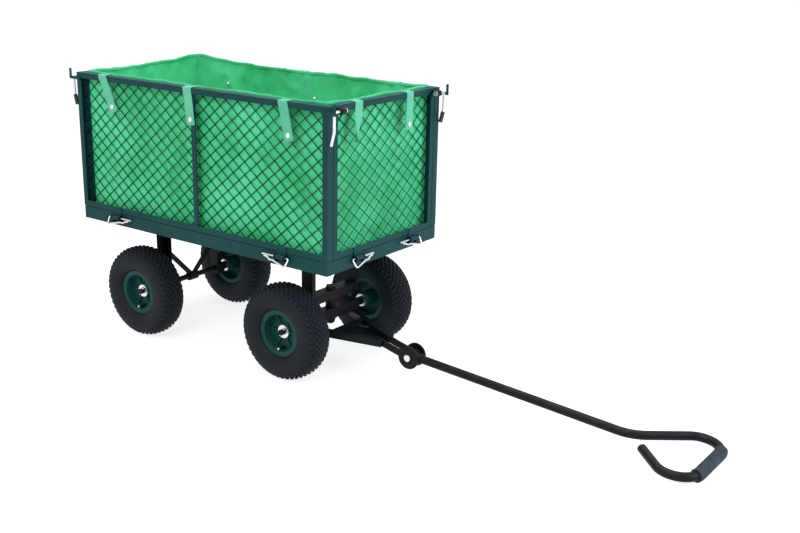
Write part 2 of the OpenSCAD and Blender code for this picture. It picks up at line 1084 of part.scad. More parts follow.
// Gusset plate under the arms, cut away beside the crossbar
module drawbar_plate() {
    x0 = crossbar_run - arm_s / 2;
    x1 = crossbar_run + arm_s * 2;
    x2 = arm_run - 6;
    color(satin_black)
        placed()
            drawbar_plane()
                translate([0, 0, -arm_s / 2 - plate_t])
                    linear_extrude(plate_t)
                        polygon([
                            [x0, -arm_y(x0) / 2], [x1, -arm_y(x1)], [x2, -arm_y(x2)],
                            [x2, arm_y(x2)], [x1, arm_y(x1)], [x0, arm_y(x0) / 2]
                        ]);
}

// Pivot bolt through both ears and the handle's hub, with its nut
module pivot_bolt() {
    outer = ear_y + ear_t;
    color(zinc)
        placed()
            translate([pivot_x, 0, pivot_z]) {
                rod_y(pivot_r, -outer - 2, outer + 12);
                rod_y(pivot_r + 3, -outer - 5, -outer);
                difference() {
                    translate([0, outer, 0])
                        rotate([-90, 0, 0])
                            cylinder(h = 9, r = pivot_r * 1.75, $fn = 6);
                    rod_y(pivot_r + fit, outer - eps, outer + 12);
                }
            }
}

// ---------- handle ----------

// Handle's own frame: x along the shaft from the pivot, y to the left
module handle_plane() {
    translate([pivot_x, 0, pivot_z])
        rotate([0, handle_tilt, 0])
            children();
}

// Hub between the fork ears, with a socket for the shaft
module handle_hub() {
    socket_r = tube_r + 2.5;
    color(satin_black)
        placed()
            handle_plane()
                difference() {
                    union() {
                        rod_y(hub_cyl_r, -ear_y + side_gap, ear_y - side_gap);
                        rotate([0, 90, 0])
                            cylinder(h = socket_end, r = socket_r);
                    }
                    rod_y(pivot_r + fit, -ear_gap, ear_gap);
                    translate([shaft_start, 0, 0])
                        rotate([0, 90, 0])
                            cylinder(h = socket_end, r = tube_r + fit);
                }
}

// One tube: shaft, neck bend, slanted side, grip bar, and back to an open tail
module handle_tube() {
    color(satin_black)
        placed()
            handle_plane()
                translate([shaft_start, 0, 0])
                    run(shaft_run, tube_r, tube_t)
                        bend(loop_angle, neck_bend_r, tube_r, tube_t)
                            run(side_run, tube_r, tube_t)
                                bend(-90 - loop_angle, loop_bend_r, tube_r, tube_t)
                                    run(2 * corner_y, tube_r, tube_t)
                                        bend(-90 - loop_angle, loop_bend_r, tube_r, tube_t)
                                            run(tail_l, tube_r, tube_t);
}

// Foam grip over the bar and the start of both corner bends
module handle_grip() {
    wall = grip_r - tube_r - fit;
    color(foam_grey)
        placed()
            handle_plane()
                translate([grip_reach, corner_y, 0])
                    rotate([0, 0, -90])
                        translate([0, -loop_bend_r, 0])
                            rotate([0, 0, grip_wrap])
                                translate([0, loop_bend_r, 0])
                                    bend(-grip_wrap, loop_bend_r, grip_r, wall)
                                        run(2 * corner_y, grip_r, wall)
                                            bend(-grip_wrap, loop_bend_r, grip_r, wall);
}

// ---------- wheels ----------

// Left wheel places; the right ones are their mirror images
module at_wheel(x) {
    placed()
        translate([x, hub_y, axle_z])
            children();
}

// Point of the tyre's outline: a rounded box about the tyre's middle radius
function tyre_point(a, half_w, half_h, mid_r) =
    let (c = cos(a), s = sin(a), n = 0.8)
    [mid_r + half_h * sign(s) * pow(abs(s), n), half_w * sign(c) * pow(abs(c), n)];

// Outline from one bead to the other, at and above radius cut_r
function tyre_outline(half_w, half_h, mid_r, cut_r, steps) =
    let (low = asin(pow((mid_r - cut_r) / half_h, 1 / 0.8)))
    [for (i = [0:steps]) tyre_point(-low + (180 + 2 * low) * i / steps, half_w, half_h, mid_r)];

module tyre() {
    wall = 8;
    bead_in = rim_r - 9.7;
    half_h = (wheel_r - rim_r + 7) / 2;
    mid_r = wheel_r - half_h;
    seat = rim_r + 1.5;
    bead_w = rim_w / 2 - 3;
    outer = tyre_outline(tyre_w / 2, half_h, mid_r, seat, 26);
    inner = tyre_outline(tyre_w / 2 - wall, half_h - wall, mid_r, seat + 1, 20);
    section = concat(
        [[bead_in, bead_w], [seat, bead_w]], outer, [[seat, -bead_w], [bead_in, -bead_w]],
        [[bead_in, -bead_w + wall]],
        [for (i = [len(inner) - 1:-1:0]) inner[i]],
        [[bead_in, bead_w - wall]]
    );
    color(tyre_black)
        rotate([-90, 0, 0])
            rotate_extrude($fn = 96)
                polygon(section);
}

// Rim: barrel with turned-up edges, ribbed web, and hub tube
module rim() {
    barrel = rim_r - 12.5;
    sheet = 2.5;
    disc_y = 0;
    hub_r = bearing_r + 3.5;
    rib_t = 4;
    rib_h = 9;
    color(rim_green)
        rotate([-90, 0, 0]) {
            rotate_extrude($fn = 96)
                union() {
                    translate([barrel, -rim_w / 2])
                        square([sheet, rim_w]);
                    for (y = [-rim_w / 2, rim_w / 2 - sheet])
                        translate([barrel, y])
                            square([rim_r - barrel, sheet]);
                    translate([bearing_r, disc_y])
                        square([barrel + 1 - bearing_r, sheet]);
                    translate([bearing_r, hub_in])
                        square([hub_r - bearing_r, hub_out - hub_in]);
                }
            for (a = [0:60:359])
                rotate([0, 0, a])
                    translate([hub_r - 1, -rib_t / 2, hub_out - rib_h])
                        cube([barrel + 2 - hub_r, rib_t, rib_h]);
        }
}

module bearing_pair() {
    depth = 10;
    color(zinc)
        for (y = [hub_in, hub_out - depth])
            difference() {
                rod_y(bearing_r, y, y + depth);
                rod_y(axle_r + fit, y - eps, y + depth + eps);
            }
}

module tyre_front_left() {
    at_wheel(front_axle_x)
        tyre();
}

module tyre_front_right() {
    mirror([0, 1, 0])
        tyre_front_left();
}

module tyre_rear_left() {
    at_wheel(-rear_axle_x)
        tyre();
}

module tyre_rear_right() {
    mirror([0, 1, 0])
        tyre_rear_left();
}

module rim_front_left() {
    at_wheel(front_axle_x)
        rim();
}

module rim_front_right() {
    mirror([0, 1, 0])
        rim_front_left();
}

module rim_rear_left() {
    at_wheel(-rear_axle_x)
        rim();
}

module rim_rear_right() {
    mirror([0, 1, 0])
        rim_rear_left();
}

module bearings_front_left() {
    at_wheel(front_axle_x)
        bearing_pair();
}

module bearings_front_right() {
    mirror([0, 1, 0])
        bearings_front_left();
}

module bearings_rear_left() {
    at_wheel(-rear_axle_x)
        bearing_pair();
}

module bearings_rear_right() {
    mirror([0, 1, 0])
        bearings_rear_left();
}

tray_frame();
deck_bearers();
deck_mesh();
liner();
hinge_brackets();
hinge_clips();
rear_legs();
rear_brace();
rear_axle();
rear_wheel_fasteners();
front_legs();
bolster();
kingpin();
swivel_collar();
right_panel_frame();
right_panel_hooks();
right_panel_mesh();
right_panel_post();
right_straps();
left_panel_frame();
left_panel_hooks();
left_panel_mesh();
left_panel_post();
left_straps();
front_panel_frame();
front_panel_mesh();
front_straps();
front_latch_bosses();
rear_panel_frame();
rear_panel_mesh();
rear_straps();
rear_latch_bosses();
latch_lever_front_right();
latch_lever_front_left();
latch_sleeve_front_left();
latch_lever_rear_right();
latch_sleeve_rear_right();
latch_lever_rear_left();
latch_sleeve_rear_left();
front_axle_beam();
front_axle_stubs();
front_wheel_fasteners();
drawbar();
drawbar_plate();
pivot_bolt();
handle_hub();
handle_tube();
handle_grip();
tyre_front_right();
rim_front_right();
bearings_front_right();
tyre_front_left();
rim_front_left();
bearings_front_left();
tyre_rear_right();
rim_rear_right();
bearings_rear_right();
tyre_rear_left();
rim_rear_left();
bearings_rear_left();
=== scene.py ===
"""Garden cart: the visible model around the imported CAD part. The scene is in metres; the named
lengths and the places given to cart() are in millimetres."""

import json
import math

import bmesh
import bpy
import numpy as np
from mathutils import Matrix, Vector, noise


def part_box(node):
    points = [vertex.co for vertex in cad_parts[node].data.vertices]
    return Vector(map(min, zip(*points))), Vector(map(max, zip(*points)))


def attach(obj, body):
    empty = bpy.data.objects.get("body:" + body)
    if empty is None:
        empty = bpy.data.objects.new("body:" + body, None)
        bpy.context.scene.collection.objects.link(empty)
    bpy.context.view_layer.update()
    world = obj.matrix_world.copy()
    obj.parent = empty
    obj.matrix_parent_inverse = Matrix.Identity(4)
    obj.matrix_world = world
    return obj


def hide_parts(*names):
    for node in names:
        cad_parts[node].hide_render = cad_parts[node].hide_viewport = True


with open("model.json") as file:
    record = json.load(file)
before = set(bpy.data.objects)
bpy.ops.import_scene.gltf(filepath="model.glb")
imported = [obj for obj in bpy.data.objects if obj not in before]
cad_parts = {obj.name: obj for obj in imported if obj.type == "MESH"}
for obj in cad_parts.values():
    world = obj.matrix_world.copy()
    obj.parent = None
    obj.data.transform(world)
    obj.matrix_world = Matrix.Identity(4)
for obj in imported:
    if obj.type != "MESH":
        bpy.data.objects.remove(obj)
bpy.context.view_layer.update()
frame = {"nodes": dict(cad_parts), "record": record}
nodes = frame["nodes"]
record = frame["record"]
scene = bpy.context.scene
mm = 0.001

tray_lo, tray_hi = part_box("tray_frame")
CX = (tray_lo.x + tray_hi.x) / 2


def cart(x, y, z):
    """A point given in millimetres from the middle of the tray, on the ground."""
    return Vector((CX + x * mm, y * mm, z * mm))


# ---------- camera, light and floor ----------

CAMERA_AT = cart(2103.5, -2255.7, 1153.2)
CAMERA_YAW, CAMERA_PITCH, CAMERA_ROLL = 35.4, 17.0, 1.3
CAMERA_LENS = 50.39
WORLD_STRENGTH = 0.85
FLOOR_HALF = 60  # metres


def make_camera():
    """Camera at the cart's front right, looking slightly down."""
    a, e, r = (math.radians(v) for v in (CAMERA_YAW, CAMERA_PITCH, CAMERA_ROLL))
    back = Vector((math.sin(a) * math.cos(e), -math.cos(a) * math.cos(e), math.sin(e)))
    right = Vector((math.cos(a), math.sin(a), 0))
    up = back.cross(right)
    right, up = math.cos(r) * right + math.sin(r) * up, math.cos(r) * up - math.sin(r) * right
    cam = bpy.data.cameras.new("camera")
    cam.lens = CAMERA_LENS
    cam.sensor_width = 36
    cam.clip_end = 50
    obj = bpy.data.objects.new("camera", cam)
    obj.matrix_world = Matrix.Translation(CAMERA_AT) @ Matrix((right, up, back)).transposed().to_4x4()
    scene.collection.objects.link(obj)
    scene.camera = obj


def area_light(name, at, target, size, power, color=(1.0, 1.0, 1.0)):
    """Rectangular lamp; its place, target and size are in metres."""
    light = bpy.data.lights.new(name, "AREA")
    light.shape = "RECTANGLE"
    light.size, light.size_y = size
    light.energy = power
    light.color = color
    obj = bpy.data.objects.new(name, light)
    obj.location = at
    obj.rotation_euler = (Vector(target) - Vector(at)).to_track_quat("-Z", "Y").to_euler()
    scene.collection.objects.link(obj)


def make_light():
    """White studio world with three large lamps; the one in front is slightly blue."""
    world = bpy.data.worlds.new("studio")
    world.use_nodes = True
    back = world.node_tree.nodes["Background"]
    back.inputs["Color"].default_value = (1.0, 1.0, 1.0, 1)
    back.inputs["Strength"].default_value = WORLD_STRENGTH
    scene.world = world
    area_light("key", (0.4, -3.4, 3.2), (-0.3, 0, 0.4), (2.6, 2.0), 95)
    area_light("top", (-0.4, 0.3, 3.6), (-0.4, 0, 0.3), (3.2, 2.4), 90)
    area_light("fill", (3.4, 0.6, 1.8), (-0.2, 0, 0.3), (1.8, 1.8), 95, (0.76, 0.90, 1.0))
    scene.view_settings.view_transform = "Standard"
    scene.view_settings.look = "None"


def make_floor():
    """Wide white floor."""
    mesh = bpy.data.meshes.new("floor")
    outline = [(x * FLOOR_HALF, y * FLOOR_HALF, 0) for x, y in ((-1, -1), (1, -1), (1, 1), (-1, 1))]
    mesh.from_pydata(outline, [], [(0, 1, 2, 3)])
    floor = bpy.data.objects.new("floor", mesh)
    scene.collection.objects.link(floor)
    floor.data.materials.append(FLOOR)


# ---------- materials ----------


class Nodes:
    """Short calls for building a node tree around a Principled shader."""

    def __init__(self, name):
        self.mat = bpy.data.materials.new(name)
        self.mat.use_nodes = True
        self.tree = self.mat.node_tree
        self.shader = self.tree.nodes["Principled BSDF"]
        self.coord = self.tree.nodes.new("ShaderNodeTexCoord").outputs["Object"]

    def put(self, socket, value):
        if isinstance(value, bpy.types.NodeSocket):
            self.tree.links.new(value, socket)
        else:
            socket.default_value = value

    def add(self, kind, values=None, **props):
        node = self.tree.nodes.new(kind)
        for key, value in props.items():
            setattr(node, key, value)
        for key, value in (values or {}).items():
            self.put(node.inputs[key], value)
        return node

    def noise(self, scale, detail=3.0, vector=None, roughness=0.5):
        node = self.add(
            "ShaderNodeTexNoise",
            {"Scale": scale, "Detail": detail, "Roughness": roughness, "Vector": vector or self.coord},
        )
        return node.outputs["Fac"]

    def math(self, op, a, b):
        return self.add("ShaderNodeMath", {0: a, 1: b}, operation=op).outputs[0]

    def ramp(self, fac, low, high, to_low=0.0, to_high=1.0):
        return self.add(
            "ShaderNodeMapRange",
            {"Value": fac, "From Min": low, "From Max": high, "To Min": to_low, "To Max": to_high},
        ).outputs[0]

    def mix(self, fac, a, b):
        node = self.tree.nodes.new("ShaderNodeMix")
        node.data_type = "RGBA"
        sockets = [s for s in node.inputs if s.type == "RGBA"]
        self.put(node.inputs[0], fac)
        self.put(sockets[0], a)
        self.put(sockets[1], b)
        return [s for s in node.outputs if s.type == "RGBA"][0]

    def stretch(self, x, y, z):
        node = self.add("ShaderNodeMapping", {"Vector": self.coord, "Scale": (x, y, z)})
        return node.outputs["Vector"]

    def bump(self, height, strength, distance, normal=None):
        values = {"Height": height, "Strength": strength, "Distance": distance}
        if normal is not None:
            values["Normal"] = normal
        return self.add("ShaderNodeBump", values).outputs["Normal"]

    def finish(self, color, roughness, normal=None, **constants):
        self.put(self.shader.inputs["Base Color"], color)
        self.put(self.shader.inputs["Roughness"], roughness)
        if normal is not None:
            self.put(self.shader.inputs["Normal"], normal)
        for key, value in constants.items():
            self.shader.inputs[key.replace("_", " ")].default_value = value
        return self.mat


def rgb(r, g, b):
    return (r, g, b, 1.0)


def painted(name, color, worn, dust, rough):
    """Powder coat: slight orange peel, cloudy colour, faint scuffs and dust on what faces up."""
    n = Nodes(name)
    cloud = n.noise(7.0, 4.0)
    scuff = n.ramp(n.noise(38.0, 8.0, roughness=0.72), 0.60, 0.78)
    peel = n.noise(420.0, 2.0)
    up = n.add("ShaderNodeSeparateXYZ", {0: n.add("ShaderNodeNewGeometry").outputs["Normal"]}).outputs[2]
    film = n.math("MULTIPLY", n.ramp(up, 0.4, 1.0, 0.0, 0.22), n.ramp(n.noise(16.0, 6.0), 0.35, 0.75))
    base = n.mix(n.ramp(cloud, 0.3, 0.7), color, tuple(c * 0.82 for c in color[:3]) + (1.0,))
    base = n.mix(n.math("MULTIPLY", scuff, 0.28), base, worn)
    base = n.mix(film, base, dust)
    roughness = n.math("ADD", n.ramp(cloud, 0.3, 0.7, rough, rough + 0.08), n.math("MULTIPLY", scuff, 0.12))
    normal = n.bump(peel, 0.12, 0.0004)
    return n.finish(base, roughness, normal, Specular_IOR_Level=0.14)


def metal(name, color, dull, rough):
    """Zinc plate: cloudy spangle, fine drawn lines and small dull patches."""
    n = Nodes(name)
    spangle = n.add("ShaderNodeTexVoronoi", {"Vector": n.coord, "Scale": 260.0}).outputs["Color"]
    grey = n.add("ShaderNodeSeparateColor", {0: spangle}).outputs[0]
    lines = n.noise(60.0, 3.0, n.stretch(1.0, 9.0, 9.0))
    patch = n.ramp(n.noise(24.0, 5.0), 0.45, 0.70)
    base = n.mix(n.math("MULTIPLY", grey, 0.30), color, dull)
    base = n.mix(n.math("MULTIPLY", patch, 0.45), base, dull)
    roughness = n.math("ADD", n.ramp(lines, 0.3, 0.7, rough, rough + 0.14), n.math("MULTIPLY", patch, 0.12))
    return n.finish(base, roughness, n.bump(lines, 0.10, 0.0002), Metallic=1.0)


def woven(name, color, pale, thread, rough, sheen, through=0.0):
    """Plain weave whose threads run with the object's axes; its cloudy pale patches and pale crease marks
    are painted highlights standing for light on the cloth's wrinkles.
    """
    n = Nodes(name)
    waves = []
    for axis in ("X", "Y", "Z"):
        wave = n.add(
            "ShaderNodeTexWave",
            {"Vector": n.coord, "Scale": thread, "Distortion": 0.6, "Detail": 1.0},
            bands_direction=axis,
        )
        waves.append(wave.outputs["Fac"])
    weave = n.math("MULTIPLY", n.math("ADD", n.math("ADD", waves[0], waves[1]), waves[2]), 0.333)
    cloud = n.noise(5.5, 5.0)
    crease = n.ramp(n.noise(22.0, 6.0, roughness=0.65), 0.40, 0.68)
    # painted highlights: cloudy patches and crease marks are mixed towards the pale colour to stand for
    # light on wrinkles
    base = n.mix(n.ramp(cloud, 0.36, 0.66), color, pale)
    base = n.mix(n.math("MULTIPLY", crease, 0.35), base, pale)
    base = n.mix(n.ramp(weave, 0.2, 0.8, 0.16, 0.0), base, tuple(c * 0.45 for c in color[:3]) + (1.0,))
    normal = n.bump(weave, 0.30, 0.0004)
    normal = n.bump(n.noise(70.0, 4.0), 0.25, 0.002, normal)
    mat = n.finish(base, n.ramp(cloud, 0.3, 0.7, rough, rough + 0.1), normal, Sheen_Weight=sheen)
    if through:
        thin = n.add("ShaderNodeBsdfTranslucent", {"Color": base, "Normal": normal})
        out = n.tree.nodes["Material Output"]
        both = n.add("ShaderNodeMixShader", {0: through, 1: n.shader.outputs[0], 2: thin.outputs[0]})
        n.tree.links.new(both.outputs[0], out.inputs["Surface"])
    return mat


def rubber(name, color, dusty, rough):
    """Tyre rubber: matt, finely pitted, with grey bloom where it has been handled."""
    n = Nodes(name)
    bloom = n.ramp(n.noise(9.0, 6.0, roughness=0.6), 0.42, 0.75)
    speck = n.noise(600.0, 2.0)
    base = n.mix(n.math("MULTIPLY", bloom, 0.55), color, dusty)
    base = n.mix(n.ramp(speck, 0.62, 0.80, 0.0, 0.25), base, dusty)
    roughness = n.ramp(bloom, 0.0, 1.0, rough, rough + 0.14)
    return n.finish(base, roughness, n.bump(speck, 0.18, 0.0003), Specular_IOR_Level=0.22)


def foam(name, color, dark):
    """Closed-cell foam: small irregular pores and a soft mottled skin."""
    n = Nodes(name)
    pores = n.add("ShaderNodeTexVoronoi", {"Vector": n.coord, "Scale": 900.0}).outputs["Distance"]
    cloud = n.noise(45.0, 5.0)
    base = n.mix(n.ramp(cloud, 0.3, 0.7, 0.0, 0.6), color, dark)
    base = n.mix(n.ramp(pores, 0.0, 0.25, 0.5, 0.0), base, dark)
    normal = n.bump(pores, 0.45, 0.0006)
    return n.finish(base, n.ramp(cloud, 0.3, 0.7, 0.72, 0.86), normal, Specular_IOR_Level=0.3)


def plastic(name, color, pale, rough):
    """Moulded plastic with a fine grain and handling marks."""
    n = Nodes(name)
    grain = n.noise(500.0, 3.0)
    marks = n.ramp(n.noise(40.0, 7.0, roughness=0.7), 0.50, 0.75)
    base = n.mix(n.math("MULTIPLY", marks, 0.3), color, pale)
    return n.finish(base, n.ramp(marks, 0.0, 1.0, rough, rough + 0.15), n.bump(grain, 0.2, 0.0003))


def backdrop(name):
    """Plain studio floor that glows, so that it meets the white world without an edge."""
    n = Nodes(name)
    base = n.mix(n.noise(0.8, 2.0), rgb(0.34, 0.34, 0.34), rgb(0.32, 0.32, 0.325))
    n.put(n.shader.inputs["Emission Color"], rgb(1.0, 1.0, 1.0))
    rough = n.ramp(n.noise(30.0, 3.0), 0.3, 0.7, 0.80, 0.90)
    return n.finish(base, rough, Emission_Strength=0.78, Specular_IOR_Level=0.0)


DUST = rgb(0.10, 0.17, 0.17)
FRAME = painted("frame_paint", rgb(0.001, 0.038, 0.040), rgb(0.010, 0.070, 0.074), DUST, 0.44)
MESH = painted("mesh_paint", rgb(0.001, 0.030, 0.022), rgb(0.008, 0.060, 0.045), DUST, 0.50)
BLACK_DUST = rgb(0.05, 0.05, 0.055)
BLACK = painted("black_paint", rgb(0.0035, 0.0045, 0.006), rgb(0.02, 0.022, 0.026), BLACK_DUST, 0.42)
RIM = painted("rim_paint", rgb(0.004, 0.046, 0.040), rgb(0.02, 0.09, 0.08), rgb(0.05, 0.08, 0.07), 0.42)
ZINC = metal("zinc", rgb(0.80, 0.81, 0.83), rgb(0.50, 0.51, 0.53), 0.24)
# The liner's and strap's second colours are the pale tones of their painted wrinkle highlights.
LINER = woven("liner_fabric", rgb(0.009, 0.47, 0.150), rgb(0.080, 0.68, 0.34), 900.0, 0.62, 0.15, 0.30)
STRAP = woven("strap_webbing", rgb(0.040, 0.32, 0.19), rgb(0.08, 0.40, 0.25), 700.0, 0.66, 0.1)
TYRE = rubber("tyre_rubber", rgb(0.001, 0.003, 0.007), rgb(0.004, 0.009, 0.015), 0.62)
FOAM = foam("grip_foam", rgb(0.020, 0.028, 0.042), rgb(0.003, 0.006, 0.010))
SLEEVE = plastic("sleeve_plastic", rgb(0.006, 0.006, 0.007), rgb(0.03, 0.03, 0.034), 0.42)
FLOOR = backdrop("studio_floor")
SLOTS = {
    "frame_paint": FRAME,
    "mesh_paint": MESH,
    "black_paint": BLACK,
    "liner_fabric": LINER,
    "strap_webbing": STRAP,
    "tyre_rubber": TYRE,
    "rim_paint": RIM,
    "zinc": ZINC,
    "sleeve_plastic": SLEEVE,
    "grip_foam": FOAM,
}

# ---------- mesh helpers ----------


def new_object(name, mesh, slot, body):
    """Links a mesh as a piece: its material, its slot and the body that it rides on."""
    obj = bpy.data.objects.new(name, mesh)
    scene.collection.objects.link(obj)
    mesh.materials.clear()
    mesh.materials.append(SLOTS[slot])
    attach(obj, body)
    return obj


def mesh_of(name, verts, faces):
    """Smooth-shaded mesh from points and faces."""
    mesh = bpy.data.meshes.new(name)
    mesh.from_pydata([tuple(v) for v in verts], [], faces)
    mesh.update()
    mesh.shade_smooth()
    return mesh


def tubes(name, paths, radius, ring=8, cyclic=False):
    """Mesh of round rods along several paths, with closed ends."""
    verts, faces = [], []
    for path in paths:
        points = [Vector(p) for p in path]
        count = len(points)
        first = len(verts)
        side = None
        for i, p in enumerate(points):
            before = points[i - 1] if i or cyclic else p
            after = points[(i + 1) % count] if i < count - 1 or cyclic else p
            along = (after - before).normalized()
            if side is None:
                side = along.orthogonal().normalized()
            side = (side - along * side.dot(along)).normalized()
            other = along.cross(side)
            for k in range(ring):
                t = 2 * math.pi * k / ring
                verts.append(p + (side * math.cos(t) + other * math.sin(t)) * radius)
        for i in range(count if cyclic else count - 1):
            a, b = first + i * ring, first + (i + 1) % count * ring
            for k in range(ring):
                m = (k + 1) % ring
                faces.append((a + k, a + m, b + m, b + k))
        if not cyclic:
            faces.append(tuple(range(first + ring - 1, first - 1, -1)))
            last = first + (count - 1) * ring
            faces.append(tuple(range(last, last + ring)))
    return mesh_of(name, verts, faces)


def lathe(name, profile, steps):
    """Closed mesh turned about +Y from a loop of (radius, y) points; a radius of 0 closes it."""
    verts, faces, rings = [], [], []
    for r, y in profile:
        if r == 0:
            rings.append([len(verts)] * steps)
            verts.append((0, y, 0))
        else:
            rings.append([len(verts) + k for k in range(steps)])
            for k in range(steps):
                t = 2 * math.pi * k / steps
                verts.append((r * math.sin(t), y, r * math.cos(t)))
    closed = profile[0][0] != 0
    for i in range(len(rings) if closed else len(rings) - 1):
        a, b = rings[i], rings[(i + 1) % len(rings)]
        for k in range(steps):
            m = (k + 1) % steps
            face = []
            for v in (a[k], a[m], b[m], b[k]):
                if v not in face:
                    face.append(v)
            faces.append(tuple(face))
    return mesh_of(name, verts, faces)


def join(name, meshes):
    """One mesh from several."""
    bm = bmesh.new()
    for mesh in meshes:
        bm.from_mesh(mesh)
    out = bpy.data.meshes.new(name)
    bm.to_mesh(out)
    bm.free()
    out.shade_smooth()
    return out


def moved(mesh, matrix):
    """A copy of a mesh, moved by a matrix."""
    copy = mesh.copy()
    copy.transform(matrix)
    return copy


def apply_modifiers(obj):
    """Bakes an object's modifiers into its mesh."""
    depsgraph = bpy.context.evaluated_depsgraph_get()
    mesh = bpy.data.meshes.new_from_object(obj.evaluated_get(depsgraph))
    obj.modifiers.clear()
    obj.data = mesh


def smooth(t):
    """Eases from 0 to 1 while t goes from 0 to 1, and stays level outside that."""
    t = min(max(t, 0.0), 1.0)
    return t * t * (3 - 2 * t)


def outward(mesh):
    """Turns all faces of a closed mesh outwards."""
    bm = bmesh.new()
    bm.from_mesh(mesh)
    bmesh.ops.recalc_face_normals(bm, faces=bm.faces)
    bm.to_mesh(mesh)
    bm.free()


# ---------- carried-over CAD nodes ----------

NODE_SLOTS = {p["node"]: p["material_slot"] for p in record["subparts"]}
PANEL_EDGE_ROUND = 0.9
FITTING_EDGE_ROUND = 0.6
WELD_DISTANCE = 0.02
EDGE_ROUND = {
    "tray_frame": 0.9,
    "deck_bearers": 0.6,
    "bolster": 1.0,
    "front_legs": 1.2,
    "rear_legs": 0.9,
    "front_axle_beam": 1.2,
    "drawbar": 1.2,
    "drawbar_plate": 0.6,
    "handle_hub": 0.8,
    "rear_brace": 0.6,
    "hinge_brackets": 0.4,
    "swivel_collar": 0.8,
    "kingpin": 0.5,
    "pivot_bolt": 0.5,
    "handle_grip": 1.2,
}


def dress_cad():
    """Gives each CAD node its material, and a small rounding on its pressed and welded edges."""
    for name, obj in nodes.items():
        obj.data.materials.clear()
        obj.data.materials.append(SLOTS[NODE_SLOTS[name]])
        for poly in obj.data.polygons:
            poly.material_index = 0
        size = EDGE_ROUND.get(name)
        if name.endswith(("panel_frame", "panel_post")):
            size = PANEL_EDGE_ROUND
        if name.endswith(("latch_bosses", "panel_hooks")) or name.startswith("rim"):
            size = FITTING_EDGE_ROUND
        if size:
            weld = obj.modifiers.new("weld", "WELD")
            weld.merge_threshold = WELD_DISTANCE * mm
            bevel = obj.modifiers.new("bevel", "BEVEL")
            bevel.width = size * mm
            bevel.segments = 2
            bevel.limit_method = "ANGLE"
            bevel.angle_limit = math.radians(40)
            bevel.harden_normals = True


# ---------- panels' wire mesh ----------

MESH_WIRE_R = 1.15
MESH_BORDER = 3
MESH_PITCH = (40, 35)
MESH_WEAVE = 0.3
MESH_EDGE = 1.2


def lattice_paths(length, height):
    """Both sets of slanting wires over a sheet, as (along, out, up) points that pass over and under."""
    inner_l, inner_h = length - 2 * MESH_BORDER, height - 2 * MESH_BORDER
    nx, nz = round(inner_l / MESH_PITCH[0]), round(inner_h / MESH_PITCH[1])
    ax, az = inner_l / nx / 2, inner_h / nz / 2
    paths = []
    for slope in (1, -1):
        for start in range(-2 * nx, 2 * nz + 2 * nx + 1, 2):
            path = []
            for i in range(2 * nx + 1):
                j = start + slope * i
                if 0 <= j <= 2 * nz:
                    over = slope if i % 2 else -slope
                    path.append([i * ax, over * MESH_WEAVE, j * az])
            if len(path) < 2:
                continue
            reach = MESH_BORDER / max(ax, az)
            for end, near in ((0, 1), (-1, -2)):
                a, b = path[end], path[near]
                path[end] = [a[0] + (a[0] - b[0]) * reach, a[1], a[2] + (a[2] - b[2]) * reach]
            for end in (0, -1):
                path[end][0] = min(max(path[end][0], -MESH_BORDER), inner_l + MESH_BORDER)
                path[end][2] = min(max(path[end][2], -MESH_BORDER), inner_h + MESH_BORDER)
            paths.append([(p[0] - inner_l / 2, p[1], p[2] + MESH_BORDER) for p in path])
    return paths


def make_panel_mesh(panel):
    """Woven lattice with a border wire, in the place of a panel's flat mesh sheet."""
    node = panel + "_panel_mesh"
    lo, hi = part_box(node)
    size = (hi - lo) / mm
    long_axis = 0 if size.x > size.y else 1
    middle = (lo + hi) / 2
    paths = []
    for path in lattice_paths(size[long_axis], size.z):
        points = []
        for along, out, up in path:
            p = Vector((middle.x, middle.y, lo.z + up * mm))
            p[long_axis] += along * mm
            p[1 - long_axis] += out * mm
            points.append(p)
        paths.append(points)
    border = []
    half = size[long_axis] / 2 - MESH_EDGE
    low, high = MESH_EDGE, size.z - MESH_EDGE
    for along, up in ((-half, low), (half, low), (half, high), (-half, high)):
        p = Vector((middle.x, middle.y, lo.z + up * mm))
        p[long_axis] += along * mm
        border.append(p)
    mesh = join(
        panel + "_wire_mesh",
        [
            tubes("wires", paths, MESH_WIRE_R * mm, 6),
            tubes("border", [border], MESH_WIRE_R * mm, 6, cyclic=True),
        ],
    )
    obj = new_object(panel + "_wire_mesh", mesh, "mesh_paint", panel + "_panel")
    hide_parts(node)


# ---------- liner ----------

liner_lo, liner_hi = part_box("liner")
LINER_L = (liner_hi.x - liner_lo.x) / mm
LINER_W = (liner_hi.y - liner_lo.y) / mm
LINER_TOP = liner_hi.z / mm
LINER_FLOOR = liner_lo.z / mm
LINER_R = 3
LINER_CELL = 13.0
CLOTH_T = 1.0
CLOTH_OUT = 0.5  # how far the cloth's middle lies outside the CAD's stiff liner
FOLD_NEAR, FOLD_FAR = 0.5, 1.5  # how loose the right and front walls, and the left and rear, are
HEM_PULL_REACH = 60.0
HEM_PEAK, HEM_PEAK_REACH = 15.0, 150.0
SETTLE_FRAMES = 24
SETTLE_LIMIT = 14
SETTLE_FADE = 70
HEM_W, HEM_T = 9.0, 3.4
SEAM_W, SEAM_T = 10.0, 2.2
STITCH_STEP, STITCH_L, STITCH_R = 6.5, 4.2, 0.35
WALL_STUDS = ((-292, 681), (37, 669))  # along and up
# Straps of one panel: place along the rail at the top and at the loose end, and whether it twists
STRAPS_SIDE = ((-343, -298, 0), (-16, -2, 0), (310, 333, 0))
STRAPS_FRONT = ((-115, -129, 1), (99, 94, 0))
STRAPS_REAR = ((-101, -95, 0), (108, 116, 0))


